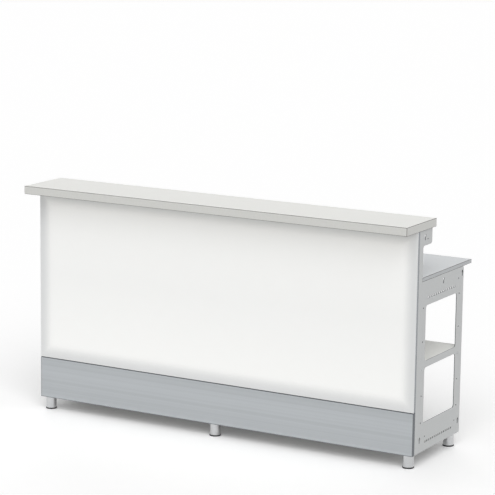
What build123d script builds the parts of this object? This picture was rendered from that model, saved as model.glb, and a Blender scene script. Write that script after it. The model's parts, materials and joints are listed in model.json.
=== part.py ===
from build123d import *
import os
from math import radians, tan

# Illuminated bar counter, in millimetres: +X along the counter, +Y towards the bartender, +Z up.
# The origin is on the floor, midway along the length and midway between the bar top's front edge
# and the worktop's rear edge.

# Bar top
bar_length = 2000.0
bar_depth = 300.0
bar_thickness = 38.0
bar_height = 1110.0
bar_front_overhang = 122.0
bar_end_overhang = 4.0
bar_edge_radius = 1.5

# Worktop and shelves
worktop_height = 860.0
worktop_thickness = 18.0
worktop_rear_overhang = 82.0
shelf_thickness = 18.0
board_edge_radius = 1.0
seating_gap = 0.5

# Front: light panel above, kick panel below
front_thickness = 20.0
face_sheet = 5.0
face_edge_radius = 1.0
panel_bar_width = 20.0
panel_joint_height = 260.0
panel_joint_gap = 2.0
liner_thickness = 3.0

# Upright frames, folded from sheet
sheet = 3.0
frame_depth = 476.0
frame_corner_radius = 5.0
column_depth = 37.0
tab_depth = 126.0
tab_height = 70.0
tab_corner_radius = 15.0
column_fillet_radius = 13.0
front_flange = 40.0
bottom_flange = 72.0
top_flange = 30.0
rear_flange = 15.0
bend_relief = 4.0
bend_radius = 2.5

# Openings in a frame
window_front_margin = 81.0
window_rear_margin = 71.0
window_sill = 133.0
window_web = 30.0
window_head = 113.0
window_radius = 15.0
hole_radius = 3.5
hole_to_window = 26.5
hole_to_column = 17.5
shelf_hole_sill = 5.0
shelf_hole_head = 1.0
top_hole_head = 7.0
keyhole_length = 28.0
keyhole_head_radius = 7.0
keyhole_slot_radius = 3.5
tab_keyhole_inset = 55.0
tab_keyhole_drop = 18.5
upper_keyhole_inset = 259.0
upper_keyhole_rear_inset = 16.0
upper_keyhole_drop = 16.0
lower_keyhole_inset = 48.0
lower_keyhole_rear_inset = 23.0
lower_keyhole_rise = 45.0
tab_lock_inset = 81.0
tab_lock_drop = 43.0
upper_lock_rear_inset = 54.0
upper_lock_drop = 48.0
lower_lock_inset = 101.0
lower_lock_rise = 67.0
lower_lock_rear_inset = 61.0
lower_lock_rear_rise = 69.0
vent_margin = 20.0
vent_pitch = 19.5
vent_width = 13.0
vent_height = 9.0
upper_vent_drop = 78.5
lower_vent_rise = 42.0

# Rails and packing strips
front_rail_height = 40.0
worktop_rail_depth = 30.0
worktop_rail_height = 25.0
rail_wall = 2.0
rail_corner_radius = 3.0
packing_width = 20.0

# Shelf brackets and bolts
bracket_length = 26.0
bracket_leg = 25.0
bracket_sheet = 2.0
bracket_bend_radius = 1.5
shelf_rise = 9.0
bolt_radius = 3.0
bolt_head_radius = 5.25
bolt_head_height = 3.3
bolt_socket_radius = 2.3
bolt_socket_depth = 2.0
bolt_nut_flats = 10.0
bolt_nut_height = 5.0
bolt_tail = 1.5

# Screws
screw_radius = 2.5
screw_head_radius = 4.5
screw_head_height = 2.4
screw_socket_radius = 1.8
screw_socket_depth = 1.4
flush_screw_radius = 3.0
flush_screw_head_radius = 5.6
flush_screw_head_height = 2.6
flush_screw_length = 12.0
flush_screw_spread = 20.0
flush_screw_inset = 25.0
screw_edge_inset = 18.0
screw_bite = 13.0
bar_screw_bite = 24.0
lining_screw_tail = 4.5
lid_screw_tail = 2.5
liner_screw_count = 4
liner_screw_margin = 90.0
light_screw_count = 4
light_screw_cover = 2.0
light_screw_margin = 70.0
kick_screw_count = 2
kick_screw_margin = 50.0
bar_screw_front_inset = 60.0
bar_screw_rear_inset = 21.0
worktop_screw_front_inset = 110.0
worktop_screw_rear_inset = 96.0
fastener_clearance = 0.2

# Feet
leg_height = 62.0
leg_inset_x = 36.0
leg_inset_front = 16.0
leg_inset_rear = 36.0
leg_radius = 25.0
leg_wall = 2.0
leg_cap = 4.0
foot_base_radius = 27.0
foot_base_thickness = 6.0
foot_base_chamfer = 1.0
foot_shank_radius = 10.0
foot_shank_gap = 8.0
foot_hex_flats = 24.0
foot_hex_gap = 0.5
bush_length = 28.0
bush_recess = 4.0
stud_radius = 5.0
stud_tail = 3.0
leg_nut_flats = 16.0
leg_nut_height = 8.0
nut_pocket_radius = 11.0
nut_pocket_depth = 14.0
running_clearance = 0.05

# Lighting
led_profile_width = 20.0
led_profile_height = 12.0
led_profile_wall = 1.5
led_strip_width = 12.0
led_board = 1.6
led_chip = 5.0
led_chip_height = 1.4
led_chip_pitch = 40.0
led_end_inset = 110.0

# Power box under the worktop, with the driver inside
box_sheet = 1.5
box_ear = 18.0
box_lip = 10.0
box_flange_gap = 3.0
box_rear_inset = 86.0
box_screw_inset = 25.0
driver_length = 150.0
driver_depth = 45.0
driver_height = 52.0
driver_edge_radius = 1.0
driver_front_gap = 25.0
driver_side_gap = 6.0
driver_end_gap = 44.0
driver_under_gap = 24.5
wiring_gap = 18.0

# Power inlet with its rocker switch
inlet_length = 62.0
inlet_height = 32.0
inlet_plate = 3.0
inlet_corner_radius = 2.0
inlet_body_depth = 26.0
inlet_body_margin = 2.0
inlet_rise = 28.0
socket_offset = 13.0
socket_width = 25.0
socket_height = 18.0
socket_depth = 16.0
socket_corner_radius = 3.0
pin_width = 2.0
pin_height = 4.0
pin_recess = 3.0
pin_tail = 6.0
pin_spread = 7.0
pin_rise = 3.0
rocker_offset = 17.0
rocker_width = 12.0
rocker_radius = 11.0
rocker_tilt = 10.0
rocker_pivot_depth = 3.5
rocker_proud = 1.2
rocker_tail = 6.0
rocker_side_gap = 0.4
rocker_cavity_depth = 12.5
trunnion_radius = 1.2
trunnion_length = 1.5

# Leads from the driver to the strips
lead_radius = 2.0
lead_bend = 14.0
lead_straight = 1.0
lead_pitch = 12.0
lead_box_inset = 12.0
lead_rail_gap = 10.0
lead_split = 4.0
lead_cross_inset = 40.0
lead_slot_height = 24.0
lead_slot_width = 10.0
grommet_radius = 4.8
grommet_lip = 1.5
grommet_neck_radius = 3.4
clip_count = 2
clip_end_margin = 60.0
clip_depth = 10.0
clip_height = 20.0
clip_margin = 7.0

# Depths, from the front
y_bar_front = -(bar_front_overhang + front_thickness + frame_depth + worktop_rear_overhang) / 2
y_face = y_bar_front + bar_front_overhang
y_frame_front = y_face + front_thickness
y_flange = y_frame_front + sheet
y_column_rear = y_frame_front + column_depth
y_liner_front = y_column_rear - liner_thickness
y_tab_rear = y_frame_front + tab_depth
y_frame_rear = y_frame_front + frame_depth
y_rear_flange = y_frame_rear - sheet
y_worktop_rear = y_frame_rear + worktop_rear_overhang
y_window_front = y_frame_front + window_front_margin
y_window_rear = y_frame_rear - window_rear_margin
window_width = y_window_rear - y_window_front
y_window = (y_window_front + y_window_rear) / 2
y_cavity = (y_flange + y_liner_front) / 2
y_lead = y_liner_front - lead_bend - lead_straight
shelf_hole_depths = (y_column_rear + hole_to_column, y_window_rear + hole_to_window)

# Heights, from the floor
z_frame_bottom = leg_height
z_base_shelf = z_frame_bottom + sheet
z_base_top = z_base_shelf + shelf_thickness
z_worktop_under = worktop_height - worktop_thickness
z_worktop_rail = z_worktop_under - sheet
z_lead = z_worktop_rail - worktop_rail_height - lead_rail_gap
z_bar_under = bar_height - bar_thickness
z_tab_bottom = z_bar_under - tab_height
z_top_rail = z_bar_under - sheet
z_middle_rail = panel_joint_height + front_rail_height / 2
z_lower_window = z_frame_bottom + window_sill
window_height = (z_worktop_under - window_head - z_lower_window - window_web) / 2
z_upper_window = z_lower_window + window_height + window_web
z_bracket_hole = z_lower_window + window_height - shelf_hole_head
z_shelf = z_bracket_hole + shelf_rise

# Lengths: each frame's outer face, the side or sides that its flanges turn to, and the two bays
x_end = bar_length / 2 - bar_end_overhang
webs = {"left": -x_end, "middle": -sheet, "right": x_end - sheet}
flange_sides = {"left": (1,), "middle": (-1, 1), "right": (-1,)}
bays = {"left": (-x_end + sheet, -sheet), "right": (0.0, x_end - sheet)}
leg_rows = {"left": -x_end + leg_inset_x, "middle": -leg_inset_x, "right": x_end - leg_inset_x}
leg_lines = {"front": y_frame_front + leg_inset_front, "rear": y_frame_rear - leg_inset_rear}
leg_places = {(line, row): (x, y) for line, y in leg_lines.items() for row, x in leg_rows.items()}


# General shapes

def block(x, y, z):
    """A box from one value to another along each axis."""
    size = (x[1] - x[0], y[1] - y[0], z[1] - z[0])
    return Pos(sum(x) / 2, sum(y) / 2, sum(z) / 2) * Box(*size)


def rod(start, direction, radius, length):
    """A round bar from a point along a direction."""
    return extrude(Plane(start, z_dir=direction) * Circle(radius), length)


def hexagon(flats):
    return RegularPolygon(flats / 2, 6, major_radius=False)


def nut(start, direction, flats, height, bore):
    seat = Plane(start, z_dir=direction)
    return extrude(seat * (hexagon(flats) - Circle(bore)), height)


def box_section(x, y, z):
    """A rail: a rectangular tube along X with rolled corners, open at both ends."""
    depth = y[1] - y[0]
    height = z[1] - z[0]
    outside = RectangleRounded(depth, height, rail_corner_radius)
    inside = RectangleRounded(depth - 2 * rail_wall, height - 2 * rail_wall, rail_corner_radius - rail_wall)
    start = Plane.YZ.offset(x[0]) * Pos(sum(y) / 2, sum(z) / 2)
    return extrude(start * (outside - inside), x[1] - x[0])


def board(x, y, z, radius=board_edge_radius):
    """A board with all its edges eased."""
    slab = block(x, y, z)
    return fillet(slab.edges(), radius)


def spread(span, margin, count):
    """Evenly spaced places along a span, with a margin at each end."""
    first = span[0] + margin
    step = (span[1] - span[0] - 2 * margin) / (count - 1)
    return [first + step * number for number in range(count)]


def cut(shape, cutters):
    for cutter in cutters:
        shape -= cutter
    return shape


def solids_of(shapes):
    return [solid for shape in shapes for solid in shape.solids()]


# Screws: each is a start point on the seat, a direction along the shank, and a shank length

def pan_screw(start, direction, length):
    seat = Plane(start, z_dir=direction)
    head = extrude(seat * Circle(screw_head_radius), -screw_head_height)
    shank = extrude(seat * Circle(screw_radius), length)
    top = seat.offset(-screw_head_height)
    recess = extrude(top * RegularPolygon(screw_socket_radius, 6), screw_socket_depth)
    return head + shank - recess


def pan_screw_hole(start, direction, length):
    reach = length + fastener_clearance
    return rod(start, direction, screw_radius + fastener_clearance, reach)


def flush_screw(start, direction, length, clearance=0.0):
    """A countersunk screw whose head ends level with its start point, or the hole for one."""
    seat = Plane(start, z_dir=direction)
    head_align = (Align.CENTER, Align.CENTER, Align.MIN)
    shank_radius = flush_screw_radius + clearance
    head_radius = flush_screw_head_radius + clearance
    cone = Cone(head_radius, shank_radius, flush_screw_head_height, align=head_align)
    return seat * cone + extrude(seat * Circle(shank_radius), length)


def flange_x(frame, side, inset):
    """A place on a frame's flange, measured from the web's far face towards the flange's free edge."""
    return webs[frame] + inset if side > 0 else webs[frame] + sheet - inset


def frame_sides():
    return [(frame, side) for frame in webs for side in flange_sides[frame]]


def front_rail_screws():
    places = []
    for frame, side in frame_sides():
        x = flange_x(frame, side, flush_screw_inset)
        for rail_top in (z_top_rail, z_middle_rail):
            middle = rail_top - front_rail_height / 2
            for z in (middle - flush_screw_spread / 2, middle + flush_screw_spread / 2):
                places.append(((x, y_frame_front, z), (0, 1, 0), flush_screw_length))
    return places


def worktop_rail_screws():
    places = []
    for frame, side in frame_sides():
        x = flange_x(frame, side, screw_edge_inset)
        for depth in worktop_rail_depths().values():
            places.append(((x, sum(depth) / 2, z_worktop_under), (0, 0, -1), flush_screw_length))
    return places


def bar_screws():
    places = []
    for frame, side in frame_sides():
        x = flange_x(frame, side, screw_edge_inset)
        for y in (y_frame_front + bar_screw_front_inset, y_tab_rear - bar_screw_rear_inset):
            places.append(((x, y, z_top_rail), (0, 0, 1), sheet + bar_screw_bite))
    return places


def worktop_screws():
    places = []
    for frame, side in frame_sides():
        x = flange_x(frame, side, screw_edge_inset)
        for y in (y_frame_front + worktop_screw_front_inset, y_frame_rear - worktop_screw_rear_inset):
            places.append(((x, y, z_worktop_rail), (0, 0, 1), sheet + screw_bite))
    return places


def light_screws():
    heights = spread((z_middle_rail, z_top_rail - front_rail_height), light_screw_margin, light_screw_count)
    length = sheet + front_thickness - face_sheet - light_screw_cover
    places = []
    for frame, side in (("left", 1), ("right", -1)):
        x = flange_x(frame, side, panel_bar_width / 2)
        places += [((x, y_flange, z), (0, -1, 0), length) for z in heights]
    return places


def kick_screws():
    span = (z_frame_bottom, z_middle_rail - front_rail_height)
    heights = spread(span, kick_screw_margin, kick_screw_count)
    places = []
    for frame, side in frame_sides():
        x = flange_x(frame, side, screw_edge_inset)
        places += [((x, y_flange, z), (0, -1, 0), sheet + screw_bite) for z in heights]
    return places


def lining_screws(bay, rail_top):
    """Screws through a liner or splashback into the front rail behind it."""
    length = liner_thickness + rail_wall + lining_screw_tail
    z = rail_top - front_rail_height / 2
    places = spread(bays[bay], liner_screw_margin, liner_screw_count)
    return [((x, y_column_rear, z), (0, -1, 0), length) for x in places]


def ear_screws():
    x, y, z = power_box_spans()
    places = []
    for place_x in (x[0] + box_screw_inset, x[1] - box_screw_inset):
        for place_y in (y[0] - box_ear / 2, y[1] + box_ear / 2):
            places.append(((place_x, place_y, z[1] - box_sheet), (0, 0, 1), box_sheet + screw_bite))
    return places


def lid_screws():
    x, y, z = power_box_spans()
    places = []
    for place_x in (x[0] + box_lip / 2 + box_sheet, x[1] - box_lip / 2 - box_sheet):
        for place_y in (y[0] + box_screw_inset, y[1] - box_screw_inset):
            places.append(((place_x, place_y, z[0] - box_sheet), (0, 0, 1), 2 * box_sheet + lid_screw_tail))
    return places


# Upright frames

def keyhole(y, bottom):
    """A round head with a slot under it, for a side panel that hangs on studs."""
    slot_end = bottom + keyhole_slot_radius
    head = bottom + keyhole_length - keyhole_head_radius
    slot = Pos(y, (slot_end + head) / 2) * Rectangle(2 * keyhole_slot_radius, head - slot_end)
    round_end = Pos(y, slot_end) * Circle(keyhole_slot_radius)
    return Pos(y, head) * Circle(keyhole_head_radius) + slot + round_end


def keyholes():
    upper = z_worktop_under - upper_keyhole_drop - keyhole_length
    lower = z_frame_bottom + lower_keyhole_rise
    tab = z_bar_under - tab_keyhole_drop - keyhole_length
    return [
        keyhole(y_frame_front + tab_keyhole_inset, tab),
        keyhole(y_frame_front + upper_keyhole_inset, upper),
        keyhole(y_frame_rear - upper_keyhole_rear_inset, upper),
        keyhole(y_frame_front + lower_keyhole_inset, lower),
        keyhole(y_frame_rear - lower_keyhole_rear_inset, lower),
    ]


def shelf_hole_heights():
    """Rows at an even pitch below and above the row in use, and one near the upper window's head."""
    first = z_lower_window + shelf_hole_sill
    pitch = (z_bracket_hole - first) / 2
    top = z_upper_window + window_height - top_hole_head
    return [first, first + pitch, z_bracket_hole, z_bracket_hole + pitch, top]


def round_holes():
    """The rows for shelves, and the holes that take a hung panel's locking screws."""
    places = [(y, z) for y in shelf_hole_depths for z in shelf_hole_heights()]
    places.append((y_frame_front + tab_lock_inset, z_bar_under - tab_lock_drop))
    places.append((y_frame_rear - upper_lock_rear_inset, z_worktop_under - upper_lock_drop))
    places.append((y_frame_front + lower_lock_inset, z_frame_bottom + lower_lock_rise))
    places.append((y_frame_rear - lower_lock_rear_inset, z_frame_bottom + lower_lock_rear_rise))
    return [Pos(y, z) * Circle(hole_radius) for y, z in places]


def windows():
    shape = RectangleRounded(window_width, window_height, window_radius)
    return [Pos(y_window, z + window_height / 2) * shape for z in (z_lower_window, z_upper_window)]


def vents():
    steps = int((window_width - 2 * vent_margin) / vent_pitch)
    first = y_window - vent_pitch * steps / 2
    places = [first + vent_pitch * number for number in range(steps + 1)]
    heights = (z_worktop_under - upper_vent_drop, z_frame_bottom + lower_vent_rise)
    return [Pos(y, z) * SlotOverall(vent_width, vent_height) for z in heights for y in places]


def web_face():
    """The frame's sheet in depth and height, with all its openings."""
    outline = Polyline(
        (y_frame_front, z_frame_bottom),
        (y_frame_rear, z_frame_bottom),
        (y_frame_rear, z_worktop_under),
        (y_column_rear, z_worktop_under),
        (y_column_rear, z_tab_bottom),
        (y_tab_rear, z_tab_bottom),
        (y_tab_rear, z_bar_under),
        (y_frame_front, z_bar_under),
        close=True,
    )
    face = make_face(outline)
    rounded = (
        (y_frame_front, z_frame_bottom, frame_corner_radius),
        (y_frame_rear, z_frame_bottom, frame_corner_radius),
        (y_frame_rear, z_worktop_under, frame_corner_radius),
        (y_tab_rear, z_tab_bottom, tab_corner_radius),
        (y_column_rear, z_tab_bottom, column_fillet_radius),
    )
    for y, z, radius in rounded:
        corner = face.vertices().sort_by_distance((y, z, 0))[0]
        face = fillet(corner, radius)
    return face - (windows() + keyholes() + round_holes() + vents())


def flanges(frame, side):
    """The folded edges of one frame, on one side of its sheet."""
    web = webs[frame]

    def across(width):
        return (web, web + width) if side > 0 else (web + sheet - width, web + sheet)

    corner = frame_corner_radius + bend_relief
    upright = (z_frame_bottom + corner, z_worktop_under - corner)
    front = (z_frame_bottom + frame_corner_radius, z_bar_under - bend_relief)
    floor = (y_frame_front + frame_corner_radius, y_frame_rear - corner)
    ledge = (y_column_rear + bend_relief, y_frame_rear - corner)
    return [
        block(across(front_flange), (y_frame_front, y_flange), front),
        block(across(bottom_flange), floor, (z_frame_bottom, z_base_shelf)),
        block(across(top_flange), ledge, (z_worktop_rail, z_worktop_under)),
        block(across(top_flange), (y_frame_front, y_tab_rear), (z_top_rail, z_bar_under)),
        block(across(rear_flange), (y_rear_flange, y_frame_rear), upright),
    ]


def round_folds(shape, frame):
    """Rounds an end frame's outer edges, where the sheet is folded."""
    outer = webs[frame] if flange_sides[frame] == (1,) else webs[frame] + sheet
    on_face = shape.edges().filter_by_position(Axis.X, outer, outer)
    folds = []
    for y in (y_frame_front, y_frame_rear):
        folds += on_face.filter_by_position(Axis.Y, y, y)
    for z in (z_frame_bottom, z_worktop_under, z_bar_under):
        folds += on_face.filter_by_position(Axis.Z, z, z)
    return fillet(folds, bend_radius)


def lead_slot():
    """The slot in the middle column through which two leads cross to the other bay."""
    slot = SlotOverall(lead_slot_height, lead_slot_width, rotation=90)
    face = Plane.YZ.offset(-sheet) * Pos(y_lead, z_lead) * slot
    return extrude(face, sheet)


def upright_frame(frame):
    shape = extrude(Plane.YZ.offset(webs[frame]) * web_face(), sheet)
    for side in flange_sides[frame]:
        for flange in flanges(frame, side):
            shape += flange
    shape = shape - lead_slot() if frame == "middle" else round_folds(shape, frame)
    sunk = front_rail_screws() + worktop_rail_screws()
    plain = bar_screws() + worktop_screws() + light_screws() + kick_screws()
    holes = [flush_screw(*place, fastener_clearance) for place in sunk]
    holes += [pan_screw_hole(*place) for place in plain]
    holes += [rod((x, y, z_frame_bottom), (0, 0, 1), stud_radius + fastener_clearance, sheet)
              for x, y in leg_places.values()]
    near = [hole for hole in holes if abs(hole.center().X - webs[frame]) < bottom_flange]
    return cut(shape, near)


# Rails and packing strips

def worktop_rail_depths():
    return {
        "front": (y_column_rear, y_column_rear + worktop_rail_depth),
        "rear": (y_rear_flange - worktop_rail_depth, y_rear_flange),
    }


def bay_span(bay, gap):
    """A bay's length, less a gap at each end."""
    return (bays[bay][0] + gap, bays[bay][1] - gap)


def front_rail(bay, top):
    span = bay_span(bay, seating_gap)
    rail = box_section(span, (y_flange, y_liner_front), (top - front_rail_height, top))
    holes = [flush_screw(*place, fastener_clearance) for place in front_rail_screws()]
    holes += [pan_screw_hole(*place) for place in lining_screws(bay, top)]
    return cut(rail, holes)


def worktop_rail(bay, depth):
    span = bay_span(bay, seating_gap)
    rail = box_section(span, depth, (z_worktop_rail - worktop_rail_height, z_worktop_rail))
    return cut(rail, [flush_screw(*place, fastener_clearance) for place in worktop_rail_screws()])


def packing_strips():
    """Rubber strips that fill the height of the flanges between the rails and what rests on them."""
    strips = []
    for bay in bays:
        span = bay_span(bay, top_flange)
        seats = [(y_cavity, z_top_rail)]
        seats += [(sum(depth) / 2, z_worktop_rail) for depth in worktop_rail_depths().values()]
        for y, z in seats:
            strips.append(block(span, (y - packing_width / 2, y + packing_width / 2), (z, z + sheet)))
    return strips


# Boards and panels

def bar_top():
    slab = board((-bar_length / 2, bar_length / 2), (y_bar_front, y_bar_front + bar_depth),
                 (z_bar_under, bar_height), bar_edge_radius)
    return cut(slab, [pan_screw_hole(*place) for place in bar_screws()])


def worktop():
    depth = (y_column_rear + seating_gap, y_worktop_rear)
    slab = board((-x_end, x_end), depth, (z_worktop_under, worktop_height))
    return cut(slab, [pan_screw_hole(*place) for place in worktop_screws() + ear_screws()])


def base_shelf(bay):
    depth = (y_flange + seating_gap, y_rear_flange - seating_gap)
    shelf = board(bay_span(bay, seating_gap), depth, (z_base_shelf, z_base_top))
    pockets = [rod((x, y, z_base_shelf), (0, 0, 1), nut_pocket_radius, nut_pocket_depth)
               for x, y in leg_places.values()]
    return cut(shelf, pockets)


def middle_shelf(bay):
    depth = (y_column_rear + seating_gap, y_rear_flange - seating_gap)
    return board(bay_span(bay, seating_gap), depth, (z_shelf, z_shelf + shelf_thickness))


def light_panel_spans():
    return (-x_end, x_end), (panel_joint_height + panel_joint_gap / 2, z_bar_under - seating_gap)


def light_panel_face():
    x, z = light_panel_spans()
    pane = block(x, (y_face, y_face + face_sheet), z)
    return fillet(pane.faces().sort_by(Axis.Y)[0].edges(), face_edge_radius)


def light_panel_frame():
    """The edge frame that the face sheet is bonded to."""
    x, z = light_panel_spans()
    depth = (y_face + face_sheet, y_frame_front)
    inner_x = (x[0] + panel_bar_width, x[1] - panel_bar_width)
    inner_z = (z[0] + panel_bar_width, z[1] - panel_bar_width)
    ring = block(x, depth, z) - block(inner_x, depth, inner_z)
    return cut(ring, [pan_screw_hole(*place) for place in light_screws()])


def kick_panel():
    height = (z_frame_bottom, panel_joint_height - panel_joint_gap / 2)
    panel = board((-x_end, x_end), (y_face, y_frame_front), height)
    return cut(panel, [pan_screw_hole(*place) for place in kick_screws()])


def lining(bay, heights, screws):
    sheet_panel = block(bay_span(bay, seating_gap), (y_liner_front, y_column_rear), heights)
    return cut(sheet_panel, [pan_screw_hole(*place) for place in screws])


def bay_liner(bay):
    panel = lining(bay, (z_base_top, z_worktop_under), lining_screws(bay, z_middle_rail))
    radius = grommet_neck_radius + fastener_clearance
    holes = [rod((x, y_liner_front, z), (0, 1, 0), radius, liner_thickness) for x, z in lead_places()]
    return cut(panel, holes)


def splashback(bay):
    return lining(bay, (z_worktop_under + seating_gap, z_top_rail), lining_screws(bay, z_top_rail))


# Shelf brackets and bolts

def shelf_bracket(face, side, y):
    """A small angle against a frame's sheet, with its ledge turned into the bay."""
    depth = (y - bracket_length / 2, y + bracket_length / 2)

    def across(length):
        return (face, face + length) if side > 0 else (face - length, face)

    leg = block(across(bracket_sheet), depth, (z_shelf - bracket_leg, z_shelf))
    ledge = block(across(bracket_leg), depth, (z_shelf - bracket_sheet, z_shelf))
    hole = rod((face, y, z_bracket_hole), (side, 0, 0), hole_radius, bracket_sheet)
    angle = leg + ledge
    fold = angle.edges().filter_by(Axis.Y).sort_by_distance((face, y, z_shelf))[0]
    return fillet(fold, bracket_bend_radius) - hole


def shelf_brackets():
    faces = [(face, side) for span in bays.values() for face, side in zip(span, (1, -1))]
    return [shelf_bracket(face, side, y) for face, side in faces for y in shelf_hole_depths]


def shelf_bolt(seat, direction, y, grip):
    """A button-head bolt through the sheet and its brackets, with a nut on the far side."""
    start = (seat, y, z_bracket_hole)
    plane = Plane(start, z_dir=(direction, 0, 0))
    head = extrude(plane * Circle(bolt_head_radius), -bolt_head_height)
    head = fillet(head.faces().sort_by(Axis.X)[0 if direction > 0 else -1].edges(), bolt_head_height / 2)
    shank = rod(start, (direction, 0, 0), bolt_radius, grip + bolt_nut_height + bolt_tail)
    top = plane.offset(-bolt_head_height)
    recess = extrude(top * RegularPolygon(bolt_socket_radius, 6), bolt_socket_depth)
    nut_seat = (seat + direction * grip, y, z_bracket_hole)
    bore = bolt_radius + running_clearance
    return [head + shank - recess, nut(nut_seat, (direction, 0, 0), bolt_nut_flats, bolt_nut_height, bore)]


def shelf_bolts():
    grip = sheet + bracket_sheet
    pieces = []
    for y in shelf_hole_depths:
        pieces += shelf_bolt(-x_end, 1, y, grip)
        pieces += shelf_bolt(x_end, -1, y, grip)
        pieces += shelf_bolt(bays["left"][1] - bracket_sheet, 1, y, grip + bracket_sheet)
    return pieces


# Feet

def leg_tube(x, y):
    """A closed-topped tube with the stud that holds it under the frame."""
    bottom = foot_base_thickness + seating_gap
    outer = rod((x, y, bottom), (0, 0, 1), leg_radius, leg_height - bottom)
    cap = leg_height - leg_cap
    inner = rod((x, y, bottom), (0, 0, 1), leg_radius - leg_wall, cap - bottom)
    stud_length = leg_cap + sheet + leg_nut_height + stud_tail
    return outer - inner + rod((x, y, cap), (0, 0, 1), stud_radius, stud_length)


def leg_bush(x, y):
    bottom = foot_base_thickness + bush_recess
    outer = rod((x, y, bottom), (0, 0, 1), leg_radius - leg_wall - running_clearance, bush_length)
    return outer - rod((x, y, bottom), (0, 0, 1), foot_shank_radius + running_clearance, bush_length)


def levelling_foot(x, y):
    base = rod((x, y, 0), (0, 0, 1), foot_base_radius, foot_base_thickness)
    base = chamfer(base.edges(), foot_base_chamfer)
    shank_length = leg_height - leg_cap - foot_shank_gap - foot_base_thickness
    shank = rod((x, y, foot_base_thickness), (0, 0, 1), foot_shank_radius, shank_length)
    spanner_hexagon = Pos(x, y, foot_base_thickness) * hexagon(foot_hex_flats)
    return base + shank + extrude(spanner_hexagon, bush_recess - foot_hex_gap)


def leg_nut(x, y):
    bore = stud_radius + running_clearance
    return nut((x, y, z_base_shelf), (0, 0, 1), leg_nut_flats, leg_nut_height, bore)


# Lighting

def led_places():
    """The span, the seat height and the facing of each light bar in a bay."""
    seats = ((z_top_rail - front_rail_height, -1), (z_middle_rail, 1))
    return [(bay_span(bay, led_end_inset), seat, facing) for bay in bays for seat, facing in seats]


def rise(seat, facing, low, high):
    """A height span that starts at a seat and goes up or down with the light's facing."""
    ends = (seat + facing * low, seat + facing * high)
    return (min(ends), max(ends))


def led_profile(span, seat, facing):
    depth = (y_cavity - led_profile_width / 2, y_cavity + led_profile_width / 2)
    inner = (depth[0] + led_profile_wall, depth[1] - led_profile_wall)
    channel = block(span, depth, rise(seat, facing, 0, led_profile_height))
    return channel - block(span, inner, rise(seat, facing, led_profile_wall, led_profile_height))


def led_strip(span, seat, facing):
    depth = (y_cavity - led_strip_width / 2, y_cavity + led_strip_width / 2)
    chip_depth = (y_cavity - led_chip / 2, y_cavity + led_chip / 2)
    top = led_profile_wall + led_board
    strip = block(span, depth, rise(seat, facing, led_profile_wall, top))
    chip_rise = rise(seat, facing, top, top + led_chip_height)
    count = int((span[1] - span[0]) / led_chip_pitch)
    for x in spread(span, led_chip_pitch / 2, count):
        strip += block((x - led_chip / 2, x + led_chip / 2), chip_depth, chip_rise)
    return strip


# Power box, driver, inlet and switch

def power_box_spans():
    """The box's outside, with room for the driver, the inlet and their wiring."""
    length = driver_side_gap + driver_length + driver_end_gap
    depth = driver_front_gap + driver_depth + wiring_gap + pin_tail + inlet_body_depth
    height = box_sheet + driver_height + driver_under_gap
    right = flange_x("middle", -1, top_flange) - box_flange_gap
    rear = y_frame_rear - box_rear_inset
    return (right - length, right), (rear - depth, rear), (z_worktop_under - height, z_worktop_under)


def inlet_place():
    """The middle of the inlet's plate, on the box's rear wall."""
    x, y, z = power_box_spans()
    return sum(x) / 2, y[1], z[0] + inlet_rise


def rocker_pivot():
    x, y, z = inlet_place()
    return x + rocker_offset, y + inlet_plate - rocker_pivot_depth, z


def power_box():
    x, y, z = power_box_spans()
    inner_x = (x[0] + box_sheet, x[1] - box_sheet)
    inner_y = (y[0] + box_sheet, y[1] - box_sheet)
    shell = block(x, y, z) - block(inner_x, inner_y, (z[0], z[1] - box_sheet))
    shell += block(x, (y[0] - box_ear, y[1] + box_ear), (z[1] - box_sheet, z[1]))
    for lip in ((x[0], inner_x[0] + box_lip), (inner_x[1] - box_lip, x[1])):
        shell += block(lip, y, (z[0], z[0] + box_sheet))
    middle_x, rear, middle_z = inlet_place()
    half_x = inlet_length / 2 - inlet_body_margin + fastener_clearance
    half_z = inlet_height / 2 - inlet_body_margin + fastener_clearance
    window = block((middle_x - half_x, middle_x + half_x), (rear - box_sheet, rear),
                   (middle_z - half_z, middle_z + half_z))
    holes = [rod((lead_x, y[0], lead_z), (0, 1, 0), grommet_neck_radius + fastener_clearance, box_sheet)
             for lead_x, lead_z in lead_places()]
    holes += [pan_screw_hole(*place) for place in ear_screws() + lid_screws()]
    return cut(shell - window, holes)


def power_box_lid():
    x, y, z = power_box_spans()
    lid = block(x, y, (z[0] - box_sheet, z[0]))
    return cut(lid, [pan_screw_hole(*place) for place in lid_screws()])


def driver_spans():
    x, y, z = power_box_spans()
    right = x[1] - driver_side_gap
    front = y[0] + driver_front_gap
    top = z[1] - box_sheet
    return (right - driver_length, right), (front, front + driver_depth), (top - driver_height, top)


def led_driver():
    case = block(*driver_spans())
    return fillet(case.edges().filter_by(Axis.X), driver_edge_radius)


def pin_places():
    x, y, z = inlet_place()
    middle = x - socket_offset
    low = z - pin_rise
    return [(middle, z + pin_rise), (middle - pin_spread, low), (middle + pin_spread, low)]


def pin_block(x, z, depth, clearance=0.0):
    half_x = pin_width / 2 + clearance
    half_z = pin_height / 2 + clearance
    return block((x - half_x, x + half_x), depth, (z - half_z, z + half_z))


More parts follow.
